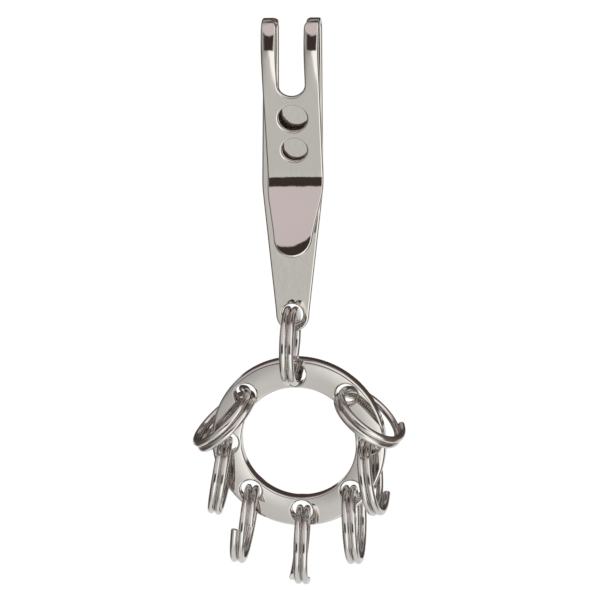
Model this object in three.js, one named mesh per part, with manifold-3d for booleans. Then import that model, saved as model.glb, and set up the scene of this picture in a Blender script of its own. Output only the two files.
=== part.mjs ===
// Pocket key clip: a spring strip folded over to hang on a pocket edge, a flat
// key disc linked under it by a split ring, and seven split rings on the disc.
// Millimetres, +Z up, the front faces -Y, origin at the inside top of the fold.

import * as THREE from 'three';
import { mergeVertices } from 'three/addons/utils/BufferGeometryUtils.js';
import Module from 'manifold-3d';

// Strip and its fold
const stripThickness = 1.0;
const stripChamfer = 0.22;
const foldInnerRadius = 1.5;
const foldAngle = 155;
const shoulderRadius = 11.5;
const foldSkew = 1.9;

// Back leaf, with the eye for the link ring at its lower end
const backWidth = 11.1;
const backParallelLength = 33;
const eyeDrop = 57.7;
const eyeBore = 4.4;
const eyeEndRadius = 3.1;
const eyeEndBelowBore = 0.6;

// Front leaf, its bend onto the back leaf and its flared tongue
const leafLength = 21.25;
const leafWidthAtBend = 10.4;
const bendRadius = 8;
const bendGap = 0.3;
const tongueFlare = 27;
const tongueLength = 10.15;
const tongueTipWidth = 7.2;
const tipRadius = 6.5;
const tipCurl = 20;

// Openings in the front leaf, placed upwards from the bend, and the slot
const smallHoleBore = 4.8;
const smallHoleAboveBend = 3.55;
const largeHoleBore = 5.5;
const holeSpacing = 6.6;
const slotWidth = 5.2;
const slotAboveLargeHole = 4.5;
const slotBackDeeper = 1.8;
const slotFlareRadius = 1.1;
const holeChamfer = 0.22;

// Split rings, all of one size
const ringOuterDiameter = 15;
const wireDiameter = 1.25;
const turnPitch = 1.7;
const turnCount = 1.94;
const stepsPerTurn = 24;
const wireSides = 6;

// Link ring in the eye and in the disc's top hole, and how far all below the eye hangs to -X
const hangSwing = -2.8;
const linkForward = 2.0;
const linkRise = 0.75;
const linkDropInDisc = 0.5;
const linkEndsAt = 236;

// Key disc
const discOuterRadius = 16.2;
const discThickness = 2.9;
const discEdgeRadius = 0.45;
const discHoleCount = 8;
const discHoleBore = 4.1;
const discHoleWall = 0.6;
const discHoleChamfer = 0.4;

// Key rings: the hole each is in (counted from the top hole towards +X), how far it swings
// to -X and turns about its own length, and where its wire ends lie (180 is its far end)
const ringForward = 1.5;
const ringRise = 0.2;
const keyRings = [
  { side: 'upper_right', hole: 1, swing: -46.6, turn: -3, endsAt: 220 },
  { side: 'right', hole: 2, swing: -2.2, turn: 5, endsAt: 228 },
  { side: 'lower_right', hole: 3, swing: 3.8, turn: 4, endsAt: 332 },
  { side: 'bottom', hole: 4, swing: 5.5, turn: 0, endsAt: 180 },
  { side: 'lower_left', hole: 5, swing: 9.5, turn: -2, endsAt: 78 },
  { side: 'left', hole: 6, swing: 15.8, turn: 0, endsAt: 300 },
  { side: 'upper_left', hole: 7, swing: 47.6, turn: -2, endsAt: 332 },
];

// Fineness of curved faces
const bendStep = 9;
const roundSteps = 6;
const boreSegments = 28;
const discSegments = 64;
const discEdgeSteps = 1;
const mergeDistance = 1e-4;

const degrees = THREE.MathUtils.degToRad;
const halfThickness = stripThickness / 2;
const plateY = foldInnerRadius + halfThickness;

const wasm = await Module();
wasm.setup();

function solidFrom(geometry) {
  const bare = geometry.clone();
  bare.deleteAttribute('normal');
  bare.deleteAttribute('uv');
  const merged = mergeVertices(bare, mergeDistance);
  const mesh = new wasm.Mesh({
    numProp: 3,
    vertProperties: new Float32Array(merged.attributes.position.array),
    triVerts: new Uint32Array(merged.index.array),
  });
  return new wasm.Manifold(mesh);
}

function geometryFrom(solid) {
  const mesh = solid.getMesh();
  const geometry = new THREE.BufferGeometry();
  geometry.setAttribute('position', new THREE.BufferAttribute(mesh.vertProperties, 3));
  geometry.setIndex(new THREE.BufferAttribute(mesh.triVerts, 1));
  geometry.computeVertexNormals();
  return geometry;
}

// A closed skin over convex sections that all have the same number of points
function loft(sections) {
  const count = sections[0].length;
  const position = sections.flat().flatMap((point) => point.toArray());
  const index = [];
  for (let row = 0; row + 1 < sections.length; row++) {
    for (let column = 0; column < count; column++) {
      const a = row * count + column;
      const b = row * count + ((column + 1) % count);
      index.push(a, b, b + count, a, b + count, a + count);
    }
  }
  const last = (sections.length - 1) * count;
  for (let column = 1; column + 1 < count; column++) {
    index.push(0, column + 1, column);
    index.push(last, last + column, last + column + 1);
  }
  const geometry = new THREE.BufferGeometry();
  geometry.setAttribute('position', new THREE.Float32BufferAttribute(position, 3));
  geometry.setIndex(index);
  return geometry;
}

// A round cutter along Y for a plate of this thickness, opening out into a chamfer at both faces
function boreCutter(bore, thickness, chamfer) {
  const radius = bore / 2;
  const face = thickness / 2;
  const reach = face + chamfer;
  const profile = [
    [0, -reach],
    [radius + 2 * chamfer, -reach],
    [radius, chamfer - face],
    [radius, face - chamfer],
    [radius + 2 * chamfer, reach],
    [0, reach],
  ];
  return new THREE.LatheGeometry(profile.map(([r, y]) => new THREE.Vector2(r, y)), boreSegments);
}

// Side view of the clip as straights and bends, from the lower end of the back leaf over the
// fold to the tip of the tongue. A heading of 0 runs up, 90 runs to the front, 180 runs down.
const eyeEndDrop = eyeDrop + eyeEndBelowBore + eyeEndRadius;
const foldRadius = foldInnerRadius + halfThickness;

// The lean that brings the bend to rest bendGap in front of the back leaf
function leanOntoBackLeaf() {
  const shoulderStart = Math.cos(degrees(180 - foldAngle));
  const curved = shoulderRadius + bendRadius;
  const room = foldInnerRadius - bendGap - halfThickness - bendRadius;
  const reach = room + shoulderStart * (foldRadius - shoulderRadius);
  const lean = Math.asin(reach / Math.hypot(leafLength, curved)) + Math.atan2(curved, leafLength);
  return THREE.MathUtils.radToDeg(lean);
}

const leafLean = leanOntoBackLeaf();
const stripRuns = [
  { name: 'back', length: eyeEndDrop - foldInnerRadius },
  { name: 'fold', radius: foldRadius, turn: foldAngle },
  { name: 'shoulder', radius: shoulderRadius, turn: 180 + leafLean - foldAngle },
  { name: 'leaf', length: leafLength },
  { name: 'bend', radius: bendRadius, turn: -(leafLean + tongueFlare) },
  { name: 'tongue', length: tongueLength },
  { name: 'tip', radius: tipRadius, turn: tipCurl },
];

const runStart = {};
let stripLength = 0;
for (const run of stripRuns) {
  run.length ??= run.radius * degrees(Math.abs(run.turn));
  run.turn ??= 0;
  runStart[run.name] = stripLength;
  stripLength += run.length;
}

// Place and heading of the strip's middle at a length along it
function stripAt(along) {
  let heading = 0;
  let y = plateY;
  let z = -eyeEndDrop;
  let left = along;
  for (const run of stripRuns) {
    const part = Math.min(left, run.length);
    const turned = degrees(run.turn) * (part / run.length);
    const chord = turned === 0 ? part : part * (Math.sin(turned / 2) / (turned / 2));
    y -= chord * Math.sin(heading + turned / 2);
    z += chord * Math.cos(heading + turned / 2);
    heading += turned;
    left -= part;
    if (left <= 0) break;
  }
  return { y, z, heading };
}

const foldTop = runStart.fold + foldRadius * degrees(90);
const flatFoldZ = foldTop - eyeEndDrop;
const tipEndRadius = tongueTipWidth / 2;
const tongueEnd = stripLength - tipEndRadius;
const backTaperStart = runStart.fold + foldInnerRadius - backParallelLength;

// Width of the strip at a length along it, as [length, width] corners with round ends added
const widthCorners = [
  [0, 2 * eyeEndRadius],
  [eyeEndRadius, 2 * eyeEndRadius],
  [backTaperStart, backWidth],
  [foldTop, backWidth],
  [runStart.bend, leafWidthAtBend],
  [runStart.tongue, leafWidthAtBend],
  [tongueEnd, tongueTipWidth],
  [stripLength, tongueTipWidth],
];

function roundedEnd(distance, radius) {
  if (distance >= radius) return 1;
  return Math.sqrt(1 - (1 - distance / radius) ** 2);
}

function stripWidth(along) {
  const next = Math.max(1, widthCorners.findIndex(([length]) => length >= along));
  const [fromLength, fromWidth] = widthCorners[next - 1];
  const [toLength, toWidth] = widthCorners[next];
  const share = (along - fromLength) / (toLength - fromLength);
  const width = fromWidth + share * (toWidth - fromWidth);
  const backEnd = roundedEnd(along, eyeEndRadius);
  const frontEnd = roundedEnd(stripLength - along, tipEndRadius);
  return width * backEnd * frontEnd;
}

// A point of the folded strip, from its place across, along and outwards on the flat one. The
// fold's line is half of foldSkew out of square, so the front leaf comes down out of line.
function onStrip(x, along, out) {
  const tilt = degrees(foldSkew / 2);
  const past = along - foldTop;
  const across = x * Math.cos(tilt) + past * Math.sin(tilt);
  const { y, z, heading } = stripAt(foldTop + past * Math.cos(tilt) - x * Math.sin(tilt));
  const rise = z + out * Math.sin(heading) - flatFoldZ;
  return new THREE.Vector3(
    across * Math.cos(tilt) - rise * Math.sin(tilt),
    y + out * Math.cos(heading),
    flatFoldZ + across * Math.sin(tilt) + rise * Math.cos(tilt),
  );
}

function stripSection(along) {
  const side = stripWidth(along) / 2;
  const chamfer = Math.min(stripChamfer, side / 2);
  const outline = [
    [side - chamfer, halfThickness],
    [chamfer - side, halfThickness],
    [-side, halfThickness - chamfer],
    [-side, chamfer - halfThickness],
    [chamfer - side, -halfThickness],
    [side - chamfer, -halfThickness],
    [side, chamfer - halfThickness],
    [side, halfThickness - chamfer],
  ];
  return outline.map(([x, out]) => onStrip(x, along, out));
}

// Lengths along the strip that carry a section: ends of runs, steps of bends and of round ends
function stripStations() {
  const stations = widthCorners.slice(1, -1).map(([length]) => length);
  for (const run of stripRuns) {
    const steps = Math.max(1, Math.ceil(Math.abs(run.turn) / bendStep));
    for (let step = 0; step <= steps; step++) {
      stations.push(runStart[run.name] + (run.length * step) / steps);
    }
  }
  for (let step = 1; step <= roundSteps; step++) {
    const sagitta = 1 - Math.cos(degrees((90 * step) / roundSteps));
    stations.push(eyeEndRadius * sagitta);
    stations.push(stripLength - tipEndRadius * sagitta);
  }
  const firstSagitta = 1 - Math.cos(degrees(90 / roundSteps));
  const first = eyeEndRadius * firstSagitta;
  const last = stripLength - tipEndRadius * firstSagitta;
  const inside = stations.filter((along) => along >= first && along <= last);
  const sorted = inside.sort((a, b) => a - b);
  return sorted.filter((along, place) => place === 0 || along - sorted[place - 1] > mergeDistance);
}

// Turns a cutter made along Y to stand square to the front leaf at a length along the strip
function placeOnLeaf(cutter, along) {
  const middle = onStrip(0, along, 0);
  cutter.rotateX(stripAt(along).heading);
  cutter.rotateY(-degrees(foldSkew));
  cutter.translate(middle.x, middle.y, middle.z);
  return cutter;
}

// Half of the slot: round at its lower end, opening out in a curve over the fold
function slotCutter(bottom, fromY, depth, skew) {
  const half = slotWidth / 2;
  const top = stripThickness;
  const flareStart = top - slotFlareRadius;
  const shape = new THREE.Shape();
  shape.absarc(0, bottom + half, half, Math.PI, 2 * Math.PI, false);
  shape.lineTo(half, flareStart);
  shape.absarc(half + slotFlareRadius, flareStart, slotFlareRadius, Math.PI, Math.PI / 2, true);
  shape.lineTo(half + slotFlareRadius, 2 * top);
  shape.lineTo(-half - slotFlareRadius, 2 * top);
  shape.lineTo(-half - slotFlareRadius, top);
  shape.absarc(-half - slotFlareRadius, flareStart, slotFlareRadius, Math.PI / 2, 0, true);
  const options = { depth, bevelEnabled: false, curveSegments: 2 * roundSteps };
  const cutter = new THREE.ExtrudeGeometry(shape, options);
  cutter.rotateX(Math.PI / 2);
  cutter.rotateY(-degrees(skew));
  cutter.translate(0, fromY, 0);
  return cutter;
}

function clipGeometry() {
  const smallHoleAlong = runStart.bend - smallHoleAboveBend;
  const largeHoleAlong = smallHoleAlong - holeSpacing;
  const slotBottom = onStrip(0, largeHoleAlong - slotAboveLargeHole, 0).z;
  const slotOverlap = stripThickness / 10;
  const frontDepth = shoulderRadius;
  const backDepth = plateY + stripThickness;
  const cutters = [
    boreCutter(eyeBore, stripThickness, holeChamfer).translate(0, plateY, -eyeDrop),
    placeOnLeaf(boreCutter(smallHoleBore, stripThickness, holeChamfer), smallHoleAlong),
    placeOnLeaf(boreCutter(largeHoleBore, stripThickness, holeChamfer), largeHoleAlong),
    slotCutter(slotBottom, slotOverlap, frontDepth, foldSkew),
    slotCutter(slotBottom - slotBackDeeper, backDepth, backDepth + slotOverlap, 0),
  ];
  const strip = solidFrom(loft(stripStations().map(stripSection)));
  return geometryFrom(cutters.reduce((solid, cutter) => solid.subtract(solidFrom(cutter)), strip));
}

// A flat ring about Y with every edge rounded, and holes evenly spaced from the top one
const discInnerRadius = discOuterRadius - discHoleBore - 2 * discHoleWall;
const discHoleRadius = (discOuterRadius + discInnerRadius) / 2;
const holeAngle = (hole) => degrees(90 - (360 / discHoleCount) * hole);

function discGeometry() {
  const face = discThickness / 2;
  const shape = new THREE.Shape();
  const low = discEdgeRadius - face;
  const high = face - discEdgeRadius;
  const inner = discInnerRadius + discEdgeRadius;
  const outer = discOuterRadius - discEdgeRadius;
  shape.absarc(outer, low, discEdgeRadius, -Math.PI / 2, 0, false);
  shape.absarc(outer, high, discEdgeRadius, 0, Math.PI / 2, false);
  shape.absarc(inner, high, discEdgeRadius, Math.PI / 2, Math.PI, false);
  shape.absarc(inner, low, discEdgeRadius, Math.PI, 1.5 * Math.PI, false);
  const profile = shape.getPoints(discEdgeSteps);
  profile.push(profile[0].clone());
  let solid = solidFrom(new THREE.LatheGeometry(profile, discSegments));
  for (let hole = 0; hole < discHoleCount; hole++) {
    const cutter = boreCutter(discHoleBore, discThickness, discHoleChamfer);
    const angle = holeAngle(hole);
    cutter.translate(discHoleRadius * Math.cos(angle), 0, discHoleRadius * Math.sin(angle));
    solid = solid.subtract(solidFrom(cutter));
  }
  return geometryFrom(solid);
}

// A split ring is one wire wound a little under two turns about X. It is made with the hole
// that it goes through at the origin and its far end towards -Z. Angles run from its top to
// the front, and its middle lies forward of the plate, so it meets the plate at wireLean.
const ringRadius = (ringOuterDiameter - wireDiameter) / 2;
const wireLean = (forward) => THREE.MathUtils.radToDeg(Math.asin(forward / ringRadius));

// How far the pair of turns lies to the side of the ring's middle at an angle round it
function pairOffset(angle, endsAt) {
  const fromOpposite = THREE.MathUtils.euclideanModulo(angle - endsAt, 360) - 180;
  return (turnPitch * fromOpposite) / 360;
}

function ringSections(forward, rise, endsAt) {
  const lean = wireLean(forward);
  const middleX = -pairOffset(-lean, endsAt);
  const middleZ = rise - ringRadius * Math.cos(degrees(lean));
  const steps = Math.round(turnCount * stepsPerTurn);
  const sections = [];
  for (let step = 0; step <= steps; step++) {
    const turned = turnCount * (step / steps - 0.5);
    const angle = degrees(endsAt) + turned * 2 * Math.PI;
    const section = [];
    for (let side = 0; side < wireSides; side++) {
      const around = (2 * Math.PI * side) / wireSides;
      const radius = ringRadius + (wireDiameter / 2) * Math.sin(around);
      const x = middleX + turnPitch * turned + (wireDiameter / 2) * Math.cos(around);
      const y = -forward - radius * Math.sin(angle);
      section.push(new THREE.Vector3(x, y, middleZ + radius * Math.cos(angle)));
    }
    sections.push(section);
  }
  return sections;
}

// Least gap between stretches of the wire that are more than half a turn apart
function leastSelfGap(sections) {
  let least = Infinity;
  sections.forEach((section, place) => {
    for (const other of sections.slice(place + stepsPerTurn / 2)) {
      for (const point of section) {
        for (const facing of other) least = Math.min(least, point.distanceTo(facing));
      }
    }
  });
  return least;
}

function splitRing(name, forward, rise, endsAt) {
  const sections = ringSections(forward, rise, endsAt);
  console.log(`${name}: least gap between turns ${leastSelfGap(sections).toFixed(3)} mm`);
  return named(name, loft(sections), { color: 0xbdb9b4, roughness: 0.12 });
}

function named(name, geometry, { color, roughness }) {
  const material = new THREE.MeshStandardMaterial({ color, roughness, metalness: 1 });
  const mesh = new THREE.Mesh(geometry, material);
  mesh.name = name;
  return mesh;
}

const keyClip = new THREE.Group();
keyClip.add(named('spring_clip', clipGeometry(), { color: 0xc4c0bb, roughness: 0.08 }));

// The link ring leans so that its pair of turns goes straight down from the eye to the disc's
// top hole, and everything below the eye hangs with a slight swing
const hanging = new THREE.Group();
hanging.position.set(0, plateY, -eyeDrop);
hanging.rotation.y = degrees(hangSwing);
keyClip.add(hanging);

const linkLean = wireLean(linkForward);
const linkChord = 2 * ringRadius * Math.cos(degrees(linkLean));
const linkShift = pairOffset(180 + linkLean, linkEndsAt) - pairOffset(-linkLean, linkEndsAt);
const linkRing = splitRing('link_ring', linkForward, linkRise, linkEndsAt);
linkRing.rotation.y = Math.atan2(linkShift, linkChord);
hanging.add(linkRing);

const discGroup = new THREE.Group();
discGroup.position.z = linkRise + linkDropInDisc - linkChord - discHoleRadius;
discGroup.add(named('key_disc', discGeometry(), { color: 0xc9c5c0, roughness: 0.07 }));
for (const { side, hole, swing, turn, endsAt } of keyRings) {
  const ring = splitRing(`key_ring_${side}`, ringForward, ringRise, endsAt);
  const angle = holeAngle(hole);
  ring.position.set(discHoleRadius * Math.cos(angle), 0, discHoleRadius * Math.sin(angle));
  ring.rotation.set(0, degrees(swing), degrees(turn));
  discGroup.add(ring);
}
hanging.add(discGroup);

export default keyClip;
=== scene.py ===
# Pocket key clip of polished nickel: a folded spring strip, a flat key disc linked under it
# and seven split rings on the disc. Lengths are given in millimetres and angles in degrees.

import math

import bpy
import numpy as np
from mathutils import Matrix, Vector
from mathutils.geometry import delaunay_2d_cdt


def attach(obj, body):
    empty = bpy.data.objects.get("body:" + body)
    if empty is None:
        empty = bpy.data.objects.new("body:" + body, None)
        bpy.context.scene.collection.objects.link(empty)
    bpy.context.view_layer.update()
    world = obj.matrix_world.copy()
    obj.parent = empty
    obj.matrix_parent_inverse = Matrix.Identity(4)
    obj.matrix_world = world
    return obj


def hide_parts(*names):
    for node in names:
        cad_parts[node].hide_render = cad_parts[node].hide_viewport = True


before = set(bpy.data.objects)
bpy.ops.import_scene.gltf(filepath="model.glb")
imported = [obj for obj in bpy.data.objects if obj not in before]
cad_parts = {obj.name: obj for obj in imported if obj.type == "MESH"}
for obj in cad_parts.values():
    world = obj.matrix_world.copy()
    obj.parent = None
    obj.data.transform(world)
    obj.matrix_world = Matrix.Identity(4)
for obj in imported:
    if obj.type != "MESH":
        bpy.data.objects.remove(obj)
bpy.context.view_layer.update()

# Spring clip. A strip of spring steel, stamped out with its slot, two holes and an eye, then
# folded over, bent back onto itself and flared into a tongue. Its edges are tumbled round
# before it is nickel plated and buffed to a mirror.
MM = 0.001
strip_thickness = 1.0
strip_half = strip_thickness / 2
strip_edge_radius = 0.38
edge_round_steps = 6
strip_colour = (0.656, 0.625, 0.579)
# Painted shade: a dark colour for the inside of the front leaf, where the gap between the leaves lies in
# shade
inside_painted_shade_colour = (0.3, 0.26, 0.235)
fold_inner_radius = 1.5
fold_angle = 155
fold_skew = 1.35
fold_width = 11.1
shoulder_radius = 11.5
back_width = 11.6
taper_below_fold = 33
eye_drop = 57.7
eye_bore = 4.0
eye_set_lower = 0.25
eye_end_radius = 3.1
eye_end_below_bore = 0.6
leaf_length = 21.25
leaf_width_at_bend = 10.6
bend_radius = 8
bend_gap = 0.3
tongue_flare = 27
tongue_length = 10.15
tongue_tip_width = 7.2
tip_length = 2.27
tip_end_radius = tongue_tip_width / 2
tip_spoon_depth = 0.6
tip_spoon_length = 3.2
tip_spoon_round = 0.35
tip_spoon_skew = 0.22
small_hole_bore = 4.8
small_hole_above_bend = 3.55
large_hole_bore = 5.5
hole_spacing = 6.6
slot_width = 5.2
slot_above_large_hole = 4.5
slot_back_deeper = 1.8
slot_flare_radius = 1.1
# The bends climb to the right by this share of the width. The climb sets in between two
# lengths before the top of the fold.
bends_out_of_square = 0.05
climb_starts_before_fold = 12
climb_full_before_fold = 4
# The bending crowns the prongs, by these shares at these lengths past the start of the shoulder
prong_crown = 0.3
prong_crown_lengths = [-3.5, 0.8, 3.2, 5.5, 12.5]
prong_crown_shares = [0, 0.8, 1.02, 1, 0]

plate_y = fold_inner_radius + strip_half
fold_radius = fold_inner_radius + strip_half
eye_end_drop = eye_drop + eye_end_below_bore + eye_end_radius


def lean_onto_back_leaf():
    """How far the front leaf leans back for its bend to come to rest just off the back leaf."""
    shoulder_start = math.cos(math.radians(180 - fold_angle))
    curved = shoulder_radius + bend_radius
    room = fold_inner_radius - bend_gap - strip_half - bend_radius
    reach = room + shoulder_start * (fold_radius - shoulder_radius)
    lean = math.asin(reach / math.hypot(leaf_length, curved)) + math.atan2(curved, leaf_length)
    return math.degrees(lean)


def arc_run(radius, turn):
    """The length of a curved run of the strip, and how far it turns."""
    return radius * math.radians(abs(turn)), turn


leaf_lean = lean_onto_back_leaf()
strip_runs = {
    "back": (eye_end_drop - fold_inner_radius, 0),
    "fold": arc_run(fold_radius, fold_angle),
    "shoulder": arc_run(shoulder_radius, 180 + leaf_lean - fold_angle),
    "leaf": (leaf_length, 0),
    "bend": arc_run(bend_radius, -(leaf_lean + tongue_flare)),
    "tongue": (tongue_length, 0),
    "tip": (tip_length, 0),
}
run_start = {}
strip_length = 0
for run_name, run in strip_runs.items():
    run_start[run_name] = strip_length
    strip_length += run[0]
fold_top = run_start["fold"] + fold_radius * math.pi / 2
flat_fold_z = fold_top - eye_end_drop


def strip_path(along):
    """Where the middle of the strip's thickness lies at each length along it, and its heading."""
    y = np.full_like(along, plate_y)
    z = np.full_like(along, -eye_end_drop)
    heading = np.zeros_like(along)
    start = 0
    for length, turn in strip_runs.values():
        part = np.clip(along - start, 0, length)
        turned = math.radians(turn) * part / length
        chord = part * np.sinc(turned / (2 * math.pi))
        y -= chord * np.sin(heading + turned / 2)
        z += chord * np.cos(heading + turned / 2)
        heading += turned
        start += length
    return y, z, heading


def fold_strip(flat, facing):
    """Points and normals of the flat strip (across, along, out), carried to the folded one."""
    # Folding about a line that is tilted by half the skew turns the front leaf by all of it
    tilt = math.radians(fold_skew / 2)
    cos_tilt, sin_tilt = math.cos(tilt), math.sin(tilt)
    past = flat[:, 1] - fold_top
    across = flat[:, 0] * cos_tilt + past * sin_tilt
    y, z, heading = strip_path(fold_top + past * cos_tilt - flat[:, 0] * sin_tilt)
    rise = z + flat[:, 2] * np.sin(heading) - flat_fold_z
    points = np.column_stack([
        across * cos_tilt - rise * sin_tilt,
        y + flat[:, 2] * np.cos(heading),
        flat_fold_z + across * sin_tilt + rise * cos_tilt,
    ])
    side = facing[:, 0] * cos_tilt + facing[:, 1] * sin_tilt
    ahead = facing[:, 1] * cos_tilt - facing[:, 0] * sin_tilt
    level = facing[:, 2] * np.cos(heading) - ahead * np.sin(heading)
    upward = facing[:, 2] * np.sin(heading) + ahead * np.cos(heading)
    normals = np.column_stack([
        side * cos_tilt - upward * sin_tilt,
        level,
        side * sin_tilt + upward * cos_tilt,
    ])
    climb_lengths = [-climb_starts_before_fold, -climb_full_before_fold]
    climb = bends_out_of_square * np.interp(past, climb_lengths, [0, 1])
    points[:, 2] += climb * points[:, 0]
    normals[:, 0] -= climb * normals[:, 2]
    return points, normals


width_corners = [
    (0, 2 * eye_end_radius),
    (eye_end_radius, 2 * eye_end_radius),
    (run_start["fold"] + fold_inner_radius - taper_below_fold, back_width),
    (fold_top, fold_width),
    (run_start["bend"], leaf_width_at_bend),
    (run_start["tongue"], leaf_width_at_bend),
    (strip_length - tip_end_radius, tongue_tip_width),
    (strip_length, tongue_tip_width),
]
width_blend_reach = 1.5
width_blend_steps = 7


def strip_width(along):
    """The strip's width between its corners, which are blended over a short length."""
    blend = np.linspace(-width_blend_reach, width_blend_reach, width_blend_steps)
    spread = np.asarray(along, float)[:, None] + blend
    corner_lengths, corner_widths = zip(*width_corners)
    return np.interp(spread, corner_lengths, corner_widths).mean(axis=1)


def circle_loop(across, along, radius, steps):
    turn = np.linspace(0, 2 * math.pi, steps, endpoint=False)
    return np.column_stack([across + radius * np.cos(turn), along + radius * np.sin(turn)])


def round_ended(start, end, start_radius, end_radius, end_step, middle_steps):
    """Lengths along an outline with round ends, and the share of its width at each of them."""
    end_turn = np.radians(np.arange(0, 90, end_step))
    first = start + start_radius * (1 - np.cos(end_turn))
    last = end - end_radius * (1 - np.cos(end_turn[::-1]))
    middle = np.linspace(start + start_radius, end - end_radius, middle_steps)
    along = np.concatenate([first, middle, last])
    share = np.concatenate([np.sin(end_turn), np.ones_like(middle), np.sin(end_turn[::-1])])
    return along, share


def both_sides(half_width, along):
    """A closed outline that is alike on both sides of its middle line."""
    right = np.column_stack([half_width, along])
    left = np.column_stack([-half_width[1:-1], along[1:-1]])[::-1]
    return np.concatenate([right, left])


outline_end_step = 5
outline_middle_steps = 420


def strip_outline():
    """The flat strip, with a round end at the eye and another at the tip."""
    along, share = round_ended(
        0, strip_length, eye_end_radius, tip_end_radius, outline_end_step, outline_middle_steps
    )
    return both_sides(strip_width(along) / 2 * share, along)


small_hole_along = run_start["bend"] - small_hole_above_bend
large_hole_along = small_hole_along - hole_spacing
slot_front_end = large_hole_along - slot_above_large_hole
slot_front_z = strip_path(np.array([slot_front_end]))[1][0]
slot_back_end = slot_front_z - slot_back_deeper + eye_end_drop
slot_end_step = 7.5
slot_middle_steps = 150


def slot_outline():
    """The slot, whose sides flare towards the top of the fold."""
    half = slot_width / 2
    along, share = round_ended(
        slot_back_end, slot_front_end, half, half, slot_end_step, slot_middle_steps
    )
    outer_radius = fold_radius + strip_half
    round_fold = np.clip((along - fold_top) / fold_radius, -math.pi / 2, math.pi / 2)
    drop = outer_radius * (1 - np.cos(round_fold))
    reach = np.clip(slot_flare_radius - drop, 0, slot_flare_radius)
    flare = slot_flare_radius - np.sqrt(slot_flare_radius**2 - reach**2)
    return both_sides(half * share + flare, along)


def inside_loops(points, loops):
    """Even-odd test of points against all the closed loops together."""
    crossings = np.zeros(len(points), int)
    for loop in loops:
        ahead = np.roll(loop, -1, axis=0)
        for start, end in zip(loop, ahead):
            spans = (start[1] > points[:, 1]) != (end[1] > points[:, 1])
            rise = end[1] - start[1]
            if rise == 0:
                continue
            cross_at = start[0] + (points[:, 1] - start[1]) * (end[0] - start[0]) / rise
            crossings += spans & (points[:, 0] < cross_at)
    return crossings % 2 == 1


def signed_area(loop):
    """The area inside a loop, negative when the loop runs clockwise."""
    ahead = np.roll(loop, -1, axis=0)
    return 0.5 * np.sum(loop[:, 0] * ahead[:, 1] - ahead[:, 0] * loop[:, 1])


weld_distance = 1e-7


def rounded_plate(loops, edge_radii, half, inner_points):
    """A flat plate inside the first loop and outside the others, with every edge rounded.
    Returns flat points (across, along, out), their normals and the faces."""
    flat, facing, faces, last_rings = [], [], [], []
    count = 0
    # Each edge is rings of points from its middle over the rounding to the two faces
    for place, (loop, radius) in enumerate(zip(loops, edge_radii)):
        if (signed_area(loop) > 0) != (place == 0):
            loop = loop[::-1]
            radius = radius[::-1]
        tangent = np.roll(loop, -1, axis=0) - np.roll(loop, 1, axis=0)
        tangent /= np.linalg.norm(tangent, axis=1)[:, None]
        outward = np.column_stack([tangent[:, 1], -tangent[:, 0]])
        size = len(loop)
        radius = radius[:, None]
        rings = {}
        for face_sign in (1, -1):
            for step in range(edge_round_steps + 1):
                turn = math.pi / 2 * step / edge_round_steps
                ring = loop - outward * radius * (1 - math.cos(turn))
                out = face_sign * (half - radius + radius * math.sin(turn))
                flat.append(np.hstack([ring, out]))
                rise = np.full(size, face_sign * math.sin(turn))
                facing.append(np.column_stack([outward * math.cos(turn), rise]))
                rings[face_sign, step] = count
                count += size
        ahead = [(i + 1) % size for i in range(size)]
        for face_sign in (1, -1):
            for step in range(edge_round_steps):
                low, high = rings[face_sign, step], rings[face_sign, step + 1]
                faces += [(low + i, low + ahead[i], high + ahead[i], high + i) for i in range(size)]
        front, back = rings[1, 0], rings[-1, 0]
        faces += [(front + i, back + i, back + ahead[i], front + ahead[i]) for i in range(size)]
        inset = loop - outward * radius
        last_rings.append((inset, rings[1, edge_round_steps], rings[-1, edge_round_steps]))
    # The two faces are the same triangles between the last rings and the inner points
    front_index, back_index, corners, edges = [], [], [], []
    for inset, front, back in last_rings:
        start = len(corners)
        corners += [Vector(point) for point in inset.tolist()]
        size = len(inset)
        edges += [(start + i, start + (i + 1) % size) for i in range(size)]
        front_index += range(front, front + size)
        back_index += range(back, back + size)
    for face_sign, index in ((1, front_index), (-1, back_index)):
        index += range(count, count + len(inner_points))
        flat.append(np.column_stack([inner_points, np.full(len(inner_points), face_sign * half)]))
        facing.append(np.tile([0.0, 0.0, face_sign], (len(inner_points), 1)))
        count += len(inner_points)
    corners += [Vector(point) for point in inner_points.tolist()]
    made = delaunay_2d_cdt(corners, edges, [], 0, weld_distance)
    made_triangles, made_from = made[2], made[3]
    origin = [ids[0] for ids in made_from]
    triangles = np.array([[origin[i] for i in triangle] for triangle in made_triangles])
    places = np.array([corner[:] for corner in corners])
    centres = places[triangles].mean(axis=1)
    kept = triangles[inside_loops(centres, [ring[0] for ring in last_rings])]
    faces += [tuple(front_index[i] for i in triangle) for triangle in kept]
    faces += [tuple(back_index[i] for i in triangle[::-1]) for triangle in kept]
    return np.concatenate(flat), np.concatenate(facing), faces


def smooth_mesh(name, points, faces, normals):
    """A mesh object from millimetre points, shaded by the true normals of its surface."""
    mesh = bpy.data.meshes.new(name)
    mesh.from_pydata((points * MM).tolist(), [], faces)
    facing = np.zeros(len(mesh.polygons) * 3)
    mesh.polygons.foreach_get("normal", facing)
    facing = facing.reshape(-1, 3)
    true_facing = np.array([normals[list(face)].mean(axis=0) for face in faces])
    wrong = np.einsum("ij,ij->i", facing, true_facing) < 0
    for polygon, turned in zip(mesh.polygons, wrong):
        if turned:
            polygon.flip()
    mesh.update()
    mesh.shade_smooth()
    mesh.normals_split_custom_set_from_vertices(normals.tolist())
    made = bpy.data.objects.new(name, mesh)
    bpy.context.scene.collection.objects.link(made)
    return made


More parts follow.
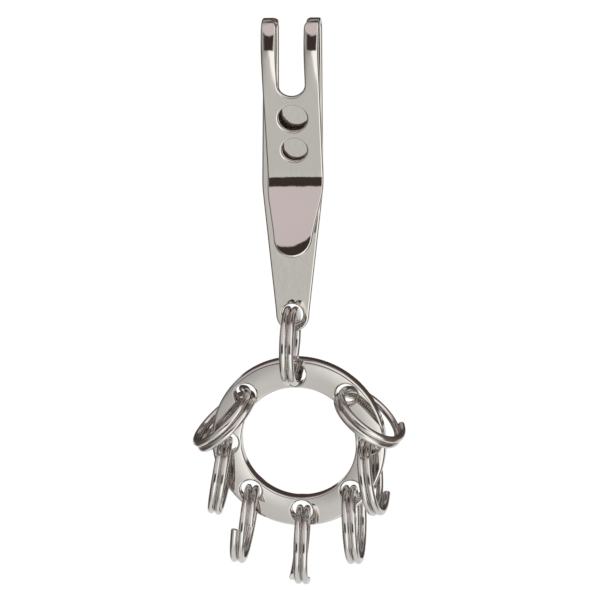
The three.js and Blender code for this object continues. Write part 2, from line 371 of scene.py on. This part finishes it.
hole_steps = 72
large_hole_steps = 80
eye_along = eye_end_below_bore + eye_end_radius - eye_set_lower
strip_loops = [
    strip_outline(),
    slot_outline(),
    circle_loop(0, eye_along, eye_bore / 2, hole_steps),
    circle_loop(0, small_hole_along, small_hole_bore / 2, hole_steps),
    circle_loop(0, large_hole_along, large_hole_bore / 2, large_hole_steps),
]
strip_radii = [np.full(len(loop), strip_edge_radius) for loop in strip_loops]
face_margin = 0.12
column_reach = 5.4
column_step = 0.3
back_row_step = 1.5
flat_row_step = 1.0
fold_row_step = 0.16
shoulder_row_step = 0.3
bend_row_step = 0.2
tip_row_step = 0.25
# Close rows go on past a curved run, and wide rows start and stop short of it
close_rows_past = 0.4
shoulder_rows_past = 0.6
wide_rows_short = 0.6
wide_rows_from = 1
tip_rows_short = 0.3


def strip_inner_points():
    """Points of the strip's faces, in rows that are close together where the strip bends."""
    fold, shoulder, leaf = run_start["fold"], run_start["shoulder"], run_start["leaf"]
    bend, tongue, tip = run_start["bend"], run_start["tongue"], run_start["tip"]
    rows = np.concatenate([
        np.arange(wide_rows_from, fold - wide_rows_short, back_row_step),
        np.arange(fold - close_rows_past, shoulder, fold_row_step),
        np.arange(shoulder, leaf + shoulder_rows_past, shoulder_row_step),
        np.arange(leaf + wide_rows_from, bend - wide_rows_short, flat_row_step),
        np.arange(bend - close_rows_past, tongue + close_rows_past, bend_row_step),
        np.arange(tongue + wide_rows_from, tip - tip_rows_short, flat_row_step),
        np.arange(tip, strip_length, tip_row_step),
    ])
    columns = np.arange(-column_reach, column_reach + column_step / 2, column_step)
    points = np.column_stack([np.tile(columns, len(rows)), np.repeat(np.sort(rows), len(columns))])
    margin = strip_edge_radius + face_margin
    clear = np.abs(points[:, 0]) < strip_width(points[:, 1]) / 2 - margin
    for loop in strip_loops:
        for edge_across, edge_along in loop:
            away = np.hypot(points[:, 0] - edge_across, points[:, 1] - edge_along)
            clear &= away > margin
    return points[clear & inside_loops(points, strip_loops)]


def strip_crown(across, along):
    """How far the strip's faces lie back: prongs crowned by the bend, a tip pressed like a spoon."""
    middle = (slot_width / 2 + fold_width / 2) / 2
    half = (fold_width - slot_width) / 4
    off_middle = np.clip((np.abs(across) - middle) / half, -1, 1)
    past_shoulder = along - run_start["shoulder"]
    share = np.interp(past_shoulder, prong_crown_lengths, prong_crown_shares)
    prong = prong_crown * share * off_middle**2
    spoon_line = strip_length - tip_spoon_round * across**2 / tip_end_radius - tip_spoon_skew * across
    from_tip = np.maximum(1 - (spoon_line - along) / tip_spoon_length, 0)
    return prong + tip_spoon_depth * from_tip**2


slope_step = 0.01


def press(flat, facing, crown):
    """Pushes a plate's points back by the crown and leans their normals with its slope."""
    across, along = flat[:, 0], flat[:, 1]
    side_rise = crown(across + slope_step, along) - crown(across - slope_step, along)
    long_rise = crown(across, along + slope_step) - crown(across, along - slope_step)
    slope = np.column_stack([side_rise, long_rise, 0 * across]) / (2 * slope_step)
    pressed = flat - np.outer(crown(across, along), [0, 0, 1])
    leaned = facing + facing[:, 2:3] * slope
    return pressed, leaned / np.linalg.norm(leaned, axis=1)[:, None]


cloud_scale = 90
cloud_darkest = 0.96
cloud_from = 0.3
cloud_to = 0.7
scratch_lean = 20
scratch_squeeze = 0.06
scratch_from = 0.35
scratch_to = 0.75


def polished_nickel(name, colour, roughness, wave_scale, wave_height, scratch_scale):
    """Buffed plate: a mirror with faint clouding, hairline scratches and a slight waviness.
    A scale is how many clouds, scratches or waves come to a metre."""
    material = bpy.data.materials.new(name)
    material.use_nodes = True
    nodes, links = material.node_tree.nodes, material.node_tree.links
    shader = nodes["Principled BSDF"]
    shader.inputs["Metallic"].default_value = 1.0
    place = nodes.new("ShaderNodeTexCoord")

    cloud = nodes.new("ShaderNodeTexNoise")
    cloud.inputs["Scale"].default_value = cloud_scale
    cloud.inputs["Detail"].default_value = 4
    links.new(place.outputs["Object"], cloud.inputs["Vector"])
    tint = nodes.new("ShaderNodeValToRGB")
    tint.color_ramp.elements[0].position = cloud_from
    tint.color_ramp.elements[0].color = (*[cloud_darkest * value for value in colour], 1)
    tint.color_ramp.elements[1].position = cloud_to
    tint.color_ramp.elements[1].color = (*colour, 1)
    links.new(cloud.outputs["Fac"], tint.inputs["Fac"])
    links.new(tint.outputs["Color"], shader.inputs["Base Color"])

    stretch = nodes.new("ShaderNodeMapping")
    stretch.inputs["Rotation"].default_value = (0, math.radians(scratch_lean), 0)
    stretch.inputs["Scale"].default_value = (1, 1, scratch_squeeze)
    links.new(place.outputs["Object"], stretch.inputs["Vector"])
    scratch = nodes.new("ShaderNodeTexNoise")
    scratch.inputs["Scale"].default_value = scratch_scale
    scratch.inputs["Detail"].default_value = 2
    links.new(stretch.outputs["Vector"], scratch.inputs["Vector"])
    dulling = nodes.new("ShaderNodeMapRange")
    dulling.inputs["From Min"].default_value = scratch_from
    dulling.inputs["From Max"].default_value = scratch_to
    dulling.inputs["To Min"].default_value = roughness
    dulling.inputs["To Max"].default_value = 2 * roughness
    links.new(scratch.outputs["Fac"], dulling.inputs["Value"])
    links.new(dulling.outputs["Result"], shader.inputs["Roughness"])

    wave = nodes.new("ShaderNodeTexNoise")
    wave.inputs["Scale"].default_value = wave_scale
    wave.inputs["Detail"].default_value = 1
    links.new(place.outputs["Object"], wave.inputs["Vector"])
    relief = nodes.new("ShaderNodeBump")
    relief.inputs["Strength"].default_value = 1.0
    relief.inputs["Distance"].default_value = wave_height * MM
    links.new(wave.outputs["Fac"], relief.inputs["Height"])
    links.new(relief.outputs["Normal"], shader.inputs["Normal"])
    return material


strip_flat, strip_facing, strip_faces = rounded_plate(
    strip_loops, strip_radii, strip_half, strip_inner_points()
)
strip_points, strip_normals = fold_strip(*press(strip_flat, strip_facing, strip_crown))
clip = smooth_mesh("spring_clip_polished", strip_points, strip_faces, strip_normals)
clip.data.materials.append(polished_nickel(
    "buffed_strip", strip_colour,
    roughness=0.035, wave_scale=900, wave_height=0.014, scratch_scale=1400,
))
# The wheel doesn't reach the inside of the front leaf, which stays dull; it is also painted dark, as
# painted shade for the gap between the leaves
clip.data.materials.append(polished_nickel(
    "dull_inside_painted_shade", inside_painted_shade_colour,
    roughness=0.3, wave_scale=900, wave_height=0.014, scratch_scale=1400,
))
# The inner faces of the front leaf, between the shoulder and the tongue, take the dull material with the
# painted shade
face_middle = np.array([strip_flat[list(face)].mean(axis=0) for face in strip_faces])
dull_painted_shade_faces = face_middle[:, 2] < strip_edge_radius - strip_half
dull_painted_shade_faces &= (face_middle[:, 1] > run_start["shoulder"]) & (face_middle[:, 1] < run_start["tongue"])
clip.data.polygons.foreach_set("material_index", dull_painted_shade_faces.astype(np.int32))
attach(clip, "clip")
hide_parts("spring_clip")

# Link ring. A split ring of spring wire, wound a little under two turns with its turns pressed
# together. It goes through the clip's eye and the disc's top hole and is plated bright.
ring_outer_diameter = 15
wire_diameter = 1.35
wire_radius = wire_diameter / 2
wire_end_chamfer = 0.12
wire_colour = (0.68, 0.66, 0.63)
turn_pitch = 1.39
steps_per_turn = 72
wire_sides = 20
sharp_edge_angle = 35
die_line_scale = 2.2
die_line_height = 0.04
hang_swing = -2.8
link_forward = 2.4
link_rise = 0.58
link_aside = -0.15
link_ends_at = 236
link_turns = 1.94
ring_radius = (ring_outer_diameter - wire_diameter) / 2


def wire_lean(forward):
    """How far round the ring from its top the hole lies, once the ring is pushed forward in it."""
    return math.degrees(math.asin(forward / ring_radius))


def pair_offset(angle, ends_at):
    """How far aside the middle of the two turns lies, at an angle round the ring."""
    return turn_pitch * ((angle - ends_at) % 360 - 180) / 360


bright_wire = polished_nickel(
    "bright_wire", wire_colour,
    roughness=0.11, wave_scale=900, wave_height=0.006, scratch_scale=2500,
)
# The die that the wire was drawn through leaves faint lines along it
wire_nodes, wire_links = bright_wire.node_tree.nodes, bright_wire.node_tree.links
die_place = wire_nodes.new("ShaderNodeAttribute")
die_place.attribute_name = "round_the_wire"
die_lines = wire_nodes.new("ShaderNodeTexNoise")
die_lines.inputs["Scale"].default_value = die_line_scale
die_lines.inputs["Detail"].default_value = 2
wire_links.new(die_place.outputs["Vector"], die_lines.inputs["Vector"])
die_relief = wire_nodes.new("ShaderNodeBump")
die_relief.inputs["Strength"].default_value = 1.0
die_relief.inputs["Distance"].default_value = die_line_height * MM
wire_links.new(die_lines.outputs["Fac"], die_relief.inputs["Height"])
wire_links.new(wire_nodes["Bump"].outputs["Normal"], die_relief.inputs["Normal"])
wire_links.new(die_relief.outputs["Normal"], wire_nodes["Principled BSDF"].inputs["Normal"])


def split_ring(name, forward, rise, ends_at, turns, place):
    """A wound wire about X with the hole it goes through at its origin, put in its place.
    Its ends lie at an angle round it from its top, and it has this many turns."""
    lean = wire_lean(forward)
    middle = Vector((-pair_offset(-lean, ends_at), -forward, rise))
    middle.z -= ring_radius * math.cos(math.radians(lean))
    steps = round(turns * steps_per_turn)
    end_length = math.degrees(wire_end_chamfer / ring_radius)
    half_turn = 180 * turns
    stations = [(-half_turn, wire_radius - wire_end_chamfer)]
    for step in range(steps + 1):
        share = 2 * step / steps - 1
        stations.append((share * (half_turn - end_length), wire_radius))
    stations.append((half_turn, wire_radius - wire_end_chamfer))
    around = np.linspace(0, 2 * math.pi, wire_sides, endpoint=False)
    points, round_wire = [], []
    for turned, thickness in stations:
        angle = math.radians(ends_at + turned)
        radius = ring_radius + thickness * np.sin(around)
        x = middle.x + turn_pitch * turned / 360 + thickness * np.cos(around)
        y = middle.y - radius * math.sin(angle)
        z = middle.z + radius * math.cos(angle)
        points.append(np.column_stack([x, y, z]))
        along_wire = np.full(wire_sides, turned / 360)
        round_wire.append(np.column_stack([np.cos(around), np.sin(around), along_wire]))
    points = np.concatenate(points)
    faces = [tuple(range(wire_sides))]
    for row in range(len(stations) - 1):
        for side in range(wire_sides):
            here = row * wire_sides + side
            beside = row * wire_sides + (side + 1) % wire_sides
            faces.append((here, here + wire_sides, beside + wire_sides, beside))
    last = (len(stations) - 1) * wire_sides
    faces.append(tuple(last + side for side in reversed(range(wire_sides))))
    turned_to = np.array(place.to_3x3())
    points = points @ turned_to.T + np.array(place.translation)
    mesh = bpy.data.meshes.new(name)
    mesh.from_pydata((points * MM).tolist(), [], faces)
    mesh.shade_smooth()
    mesh.set_sharp_from_angle(angle=math.radians(sharp_edge_angle))
    die_marks = mesh.attributes.new("round_the_wire", "FLOAT_VECTOR", "POINT")
    die_marks.data.foreach_set("vector", np.concatenate(round_wire).ravel())
    ring = bpy.data.objects.new(name, mesh)
    bpy.context.scene.collection.objects.link(ring)
    ring.data.materials.append(bright_wire)
    return ring


link_lean = wire_lean(link_forward)
link_chord = 2 * ring_radius * math.cos(math.radians(link_lean))
link_shift = pair_offset(180 + link_lean, link_ends_at) - pair_offset(-link_lean, link_ends_at)
eye_place = Matrix.Translation((0, plate_y, -eye_drop))
eye_place = eye_place @ Matrix.Rotation(math.radians(hang_swing), 4, "Y")
link_place = eye_place @ Matrix.Translation((link_aside, 0, 0))
link_place = link_place @ Matrix.Rotation(math.atan2(link_shift, link_chord), 4, "Y")
link = split_ring("link_ring_wire", link_forward, link_rise, link_ends_at, link_turns, link_place)
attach(link, "link")
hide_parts("link_ring")

# Key disc. A flat ring turned or stamped from steel plate, with eight holes whose rims are
# rounded. It is buffed on its faces and edges and plated like the clip, and hangs on the link.
disc_outer_radius = 16.2
disc_thickness = 2.9
disc_half = disc_thickness / 2
disc_rim_past_outer = 0.35
disc_rim_edge_radius = 0.55
disc_edge_radius = 0.35
disc_hole_count = 8
disc_hole_bore = 4.1
disc_hole_wall = 0.6
disc_hole_rim = 0.42
disc_rim_gap = 0.04
disc_crown = 0.16
disc_below_eye = 25.428
disc_colour = (0.7, 0.67, 0.63)
disc_rim_steps = 240
disc_opening_steps = 200
disc_hole_steps = 64
disc_face_inside = 0.55
disc_face_outside = 0.5
disc_face_step = 0.35
disc_inner_radius = disc_outer_radius - disc_hole_bore - 2 * disc_hole_wall
disc_hole_radius = (disc_outer_radius + disc_inner_radius) / 2


def hole_place(hole):
    """Where a hole lies on the disc, counted from the top one to the right."""
    angle = math.radians(90 - 360 / disc_hole_count * hole)
    return disc_hole_radius * math.cos(angle), disc_hole_radius * math.sin(angle)


disc_loops = [
    circle_loop(0, 0, disc_outer_radius + disc_rim_past_outer, disc_rim_steps),
    circle_loop(0, 0, disc_inner_radius, disc_opening_steps),
]
disc_radii = []
for loop, edge_radius in zip(disc_loops, [disc_rim_edge_radius, disc_edge_radius]):
    room = np.full(len(loop), edge_radius)
    for hole in range(disc_hole_count):
        away = np.linalg.norm(loop - np.array(hole_place(hole)), axis=1)
        room = np.minimum(room, away - disc_hole_bore / 2 - disc_hole_rim - disc_rim_gap)
    disc_radii.append(room)
for hole in range(disc_hole_count):
    disc_loops.append(circle_loop(*hole_place(hole), disc_hole_bore / 2, disc_hole_steps))
    disc_radii.append(np.full(disc_hole_steps, disc_hole_rim))


def disc_inner_points():
    """Points of the disc's faces, in rings that keep clear of the holes."""
    first = disc_inner_radius + disc_face_inside
    last = disc_outer_radius - disc_face_outside
    rings = []
    for radius in np.arange(first, last, disc_face_step):
        rings.append(circle_loop(0, 0, radius, disc_rim_steps))
    points = np.concatenate(rings)
    for hole in range(disc_hole_count):
        away = np.linalg.norm(points - np.array(hole_place(hole)), axis=1)
        points = points[away > disc_hole_bore / 2 + disc_hole_rim + face_margin]
    return points


def disc_dome(across, along):
    """How far the disc's face lies back towards its edges."""
    half_width = (disc_outer_radius - disc_inner_radius) / 2
    return disc_crown * ((np.hypot(across, along) - disc_hole_radius) / half_width)**2


def press_both(flat, facing, crown):
    """Presses the two faces of a plate towards each other."""
    front = np.sign(flat[:, 2])[:, None] * np.array([0, 0, 1]) + np.array([1, 1, 0])
    pressed, leaned = press(flat * front, facing * front, crown)
    return pressed * front, leaned * front


disc_flat, disc_facing, disc_faces = rounded_plate(
    disc_loops, disc_radii, disc_half, disc_inner_points()
)
disc_flat, disc_facing = press_both(disc_flat, disc_facing, disc_dome)
disc_place = eye_place @ Matrix.Translation((0, 0, -disc_below_eye))
disc_turned = np.array(disc_place.to_3x3())
# The flat disc stands up in its place, so along becomes up and out becomes to the back
stood_up = [0, 2, 1]
disc_points = disc_flat[:, stood_up] @ disc_turned.T + np.array(disc_place.translation)
disc_normals = disc_facing[:, stood_up] @ disc_turned.T
disc = smooth_mesh("key_disc_polished", disc_points, disc_faces, disc_normals)
disc.data.materials.append(polished_nickel(
    "buffed_disc", disc_colour,
    roughness=0.035, wave_scale=300, wave_height=0.01, scratch_scale=1400,
))
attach(disc, "disc")
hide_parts("key_disc")

# Key rings. Seven split rings like the link ring, one through each of the disc's other holes.
# Each lies as it was pushed, so its swing, its turn and the place of its cut ends differ.
full_winding = 1.98


def hang_key_ring(side, hole, swing, turn, aside, forward, rise, ends_at, turns=full_winding):
    """A ring in its hole, swung in the disc's plane, turned about its own height, and shifted in
    the hole to the right, to the front and up."""
    across, up = hole_place(hole)
    ring_place = disc_place @ Matrix.Translation((across, 0, up))
    ring_place = ring_place @ Matrix.Rotation(math.radians(swing), 4, "Y")
    ring_place = ring_place @ Matrix.Translation((aside, 0, 0))
    ring_place = ring_place @ Matrix.Rotation(math.radians(turn), 4, "Z")
    key_ring = split_ring(f"key_ring_{side}_wire", forward, rise, ends_at, turns, ring_place)
    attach(key_ring, f"{side}_ring")
    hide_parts(f"key_ring_{side}")


hang_key_ring(
    "upper_right", hole=1, swing=-49, turn=-5, aside=-0.33, forward=2.3, rise=0.5, ends_at=238, turns=1.86
)
hang_key_ring("right", hole=2, swing=-5, turn=-1, aside=-0.4, forward=2.5, rise=0.22, ends_at=228)
hang_key_ring("lower_right", hole=3, swing=0.2, turn=4, aside=-0.35, forward=2.4, rise=0.22, ends_at=314)
hang_key_ring("bottom", hole=4, swing=5.5, turn=4, aside=0.2, forward=2.5, rise=0.22, ends_at=180)
hang_key_ring("lower_left", hole=5, swing=9.5, turn=2, aside=0.2, forward=2.5, rise=0.22, ends_at=78)
hang_key_ring("left", hole=6, swing=13.5, turn=4, aside=-0.5, forward=2.5, rise=0.22, ends_at=300)
hang_key_ring("upper_left", hole=7, swing=51, turn=8, aside=0.33, forward=1.9, rise=0.35, ends_at=316)

# Floor. A plain white sheet well below the object, kept out of the polished faces, which
# mirror the studio round them instead.
floor_drop = 450
floor_radius = 12000
floor_rim_steps = 96
white = (1, 1, 1, 1)
white_strength = 1.02
floor_rim = circle_loop(0, 0, floor_radius, floor_rim_steps) * MM
floor_corners = [(x, y, -floor_drop * MM) for x, y in floor_rim.tolist()]
floor_mesh = bpy.data.meshes.new("floor")
floor_mesh.from_pydata(floor_corners, [], [tuple(range(floor_rim_steps))])
floor = bpy.data.objects.new("floor", floor_mesh)
bpy.context.scene.collection.objects.link(floor)
floor.visible_glossy = False
floor_material = bpy.data.materials.new("white_floor")
floor_material.use_nodes = True
floor_shader = floor_material.node_tree.nodes["Principled BSDF"]
floor_shader.inputs["Base Color"].default_value = (0, 0, 0, 1)
floor_shader.inputs["Specular IOR Level"].default_value = 0
floor_shader.inputs["Emission Color"].default_value = white
floor_shader.inputs["Emission Strength"].default_value = white_strength
floor_mesh.materials.append(floor_material)

# Studio light. A light table below with dark ends, a dark room with a bright window at the front
# right and a dim one at the front left, and a rosy dome above that has a grey light at its dark
# back. The polished faces and bends mirror them as pale panels and dark lines.
neutral = (1, 1, 1)
rose = (1, 0.9, 0.945)
brown = (1, 0.76, 0.68)
# The studio's own front lies this far to the left of the object's
studio_turn = 4
world = bpy.data.worlds.new("studio")
bpy.context.scene.world = world
world.use_nodes = True
sky_nodes, sky_links = world.node_tree.nodes, world.node_tree.links
sky_place = sky_nodes.new("ShaderNodeTexCoord")
sky_axes = sky_nodes.new("ShaderNodeSeparateXYZ")
sky_links.new(sky_place.outputs["Generated"], sky_axes.inputs["Vector"])


def sky_math(operation, *values):
    """One step of arithmetic, on numbers or on the outputs of other nodes."""
    node = sky_nodes.new("ShaderNodeMath")
    node.operation = operation
    for socket, value in zip(node.inputs, values):
        if isinstance(value, (int, float)):
            socket.default_value = value
        else:
            sky_links.new(value, socket)
    return node.outputs["Value"]


sky_front = sky_math("MULTIPLY", sky_axes.outputs["Y"], -1)
sky_azimuth = sky_math("ARCTAN2", sky_axes.outputs["X"], sky_front)
sky_round = sky_math("MULTIPLY_ADD", sky_azimuth, 0.5 / math.pi, 0.5 + studio_turn / 360)
sky_height = sky_math("ARCSINE", sky_axes.outputs["Z"])


def tone_round(stops):
    """Light round the object, as tinted tones by the angle from the front, right side positive."""
    ramp = sky_nodes.new("ShaderNodeValToRGB")
    elements = ramp.color_ramp.elements
    while len(elements) < len(stops):
        elements.new(0.5)
    for element, (angle, light, tint) in zip(elements, stops):
        element.position = angle / 360 + 0.5
        element.color = (*[light * share for share in tint], 1)
    sky_links.new(sky_round, ramp.inputs["Fac"])
    return ramp.outputs["Color"]


def above(lower, upper, from_height, to_height):
    """The lower light up to one height, going over to the upper light at the other height."""
    share = sky_nodes.new("ShaderNodeMapRange")
    share.interpolation_type = "SMOOTHSTEP"
    share.inputs["From Min"].default_value = math.radians(from_height)
    share.inputs["From Max"].default_value = math.radians(to_height)
    sky_links.new(sky_height, share.inputs["Value"])
    blend = sky_nodes.new("ShaderNodeMix")
    blend.data_type = "RGBA"
    # This node's sockets for colours share their names with others, so they go by number
    share_socket, lower_socket, upper_socket, blended_socket = 0, 6, 7, 2
    sky_links.new(share.outputs["Result"], blend.inputs[share_socket])
    sky_links.new(lower, blend.inputs[lower_socket])
    sky_links.new(upper, blend.inputs[upper_socket])
    return blend.outputs[blended_socket]


floor_light = tone_round([(-180, 0.85, neutral), (180, 0.85, neutral)])
table_light = tone_round([
    (-180, 0.84, neutral), (-142, 0.8, neutral), (-128, 0.13, brown), (-68, 0.13, brown),
    (-48, 0.36, neutral), (-20, 0.65, neutral), (-5, 0.74, neutral), (1, 0.8, neutral),
    (4, 0.88, neutral), (7, 1.15, neutral), (11, 1.45, neutral), (60, 1.45, neutral),
    (76, 0.18, brown), (122, 0.16, brown), (136, 0.8, neutral), (180, 0.84, neutral),
])
table_edge_light = tone_round([
    (-180, 0.8, neutral), (-142, 0.7, neutral), (-128, 0.13, brown), (-68, 0.13, brown),
    (-48, 0.34, neutral), (-30, 0.46, neutral), (-12, 0.52, neutral), (-8, 0.6, neutral),
    (-5, 0.77, neutral), (-2, 0.95, neutral), (4, 1.2, neutral), (10, 1.45, neutral),
    (60, 1.45, neutral), (76, 0.18, brown), (122, 0.16, brown), (136, 0.7, neutral),
    (180, 0.8, neutral),
])
room_light = tone_round([
    (-180, 0.06, brown), (-110, 0.1, brown), (-60, 0.35, neutral), (-38, 0.6, neutral),
    (-24, 0.06, brown), (20, 0.06, brown), (34, 0.9, neutral), (46, 1.4, neutral),
    (60, 1.4, neutral), (82, 0.2, brown), (180, 0.06, brown),
])
dome_light = tone_round([
    (-180, 0.07, brown), (-120, 0.12, brown), (-80, 0.6, rose), (-30, 0.83, rose), (20, 0.83, rose),
    (45, 1.3, neutral), (66, 1.3, neutral), (95, 0.2, brown), (180, 0.07, brown),
])
behind_light = tone_round([
    (-180, 0.42, neutral), (-125, 0.42, neutral), (-95, 0.3, brown), (-80, 0.6, rose),
    (-30, 0.83, rose), (20, 0.83, rose), (45, 1.3, neutral), (66, 1.3, neutral),
    (95, 0.3, brown), (125, 0.42, neutral), (180, 0.42, neutral),
])
sky_colour = above(floor_light, table_light, from_height=-62, to_height=-42)
sky_colour = above(sky_colour, table_edge_light, from_height=-26, to_height=-9)
sky_colour = above(sky_colour, room_light, from_height=-8, to_height=-5)
sky_colour = above(sky_colour, dome_light, from_height=18, to_height=23)
sky_colour = above(sky_colour, behind_light, from_height=40, to_height=47)
sky_colour = above(sky_colour, dome_light, from_height=60, to_height=68)
sky_light = sky_nodes["Background"]
sky_links.new(sky_colour, sky_light.inputs["Color"])
open_white = sky_nodes.new("ShaderNodeBackground")
open_white.inputs["Color"].default_value = white
open_white.inputs["Strength"].default_value = white_strength
sky_path = sky_nodes.new("ShaderNodeLightPath")
sky_choice = sky_nodes.new("ShaderNodeMixShader")
sky_links.new(sky_path.outputs["Is Camera Ray"], sky_choice.inputs["Fac"])
# This node's two shader sockets share one name as well
mirrored_socket, seen_socket = 1, 2
sky_links.new(sky_light.outputs["Background"], sky_choice.inputs[mirrored_socket])
sky_links.new(open_white.outputs["Background"], sky_choice.inputs[seen_socket])
sky_links.new(sky_choice.outputs["Shader"], sky_nodes["World Output"].inputs["Surface"])

# Camera, at the photograph's angle: a little to the right of the clip and above it, with a
# long lens. The aim puts the object where the photograph has it.
camera_azimuth = math.radians(9)
camera_elevation = math.radians(18.5)
camera_distance = 5000 * MM
camera_aim = Vector((1.68, 0, -54.5)) * MM
frame_width = 112.6 * MM
camera_data = bpy.data.cameras.new("camera")
camera = bpy.data.objects.new("camera", camera_data)
bpy.context.scene.collection.objects.link(camera)
camera_back = Vector((
    math.sin(camera_azimuth) * math.cos(camera_elevation),
    -math.cos(camera_azimuth) * math.cos(camera_elevation),
    math.sin(camera_elevation),
))
camera.location = camera_aim + camera_back * camera_distance
camera.rotation_mode = "QUATERNION"
camera.rotation_quaternion = (-camera_back).to_track_quat("-Z", "Y")
camera_data.lens = camera_data.sensor_width * camera_distance / frame_width
bpy.context.scene.camera = camera
bpy.context.scene.view_settings.view_transform = "Standard"
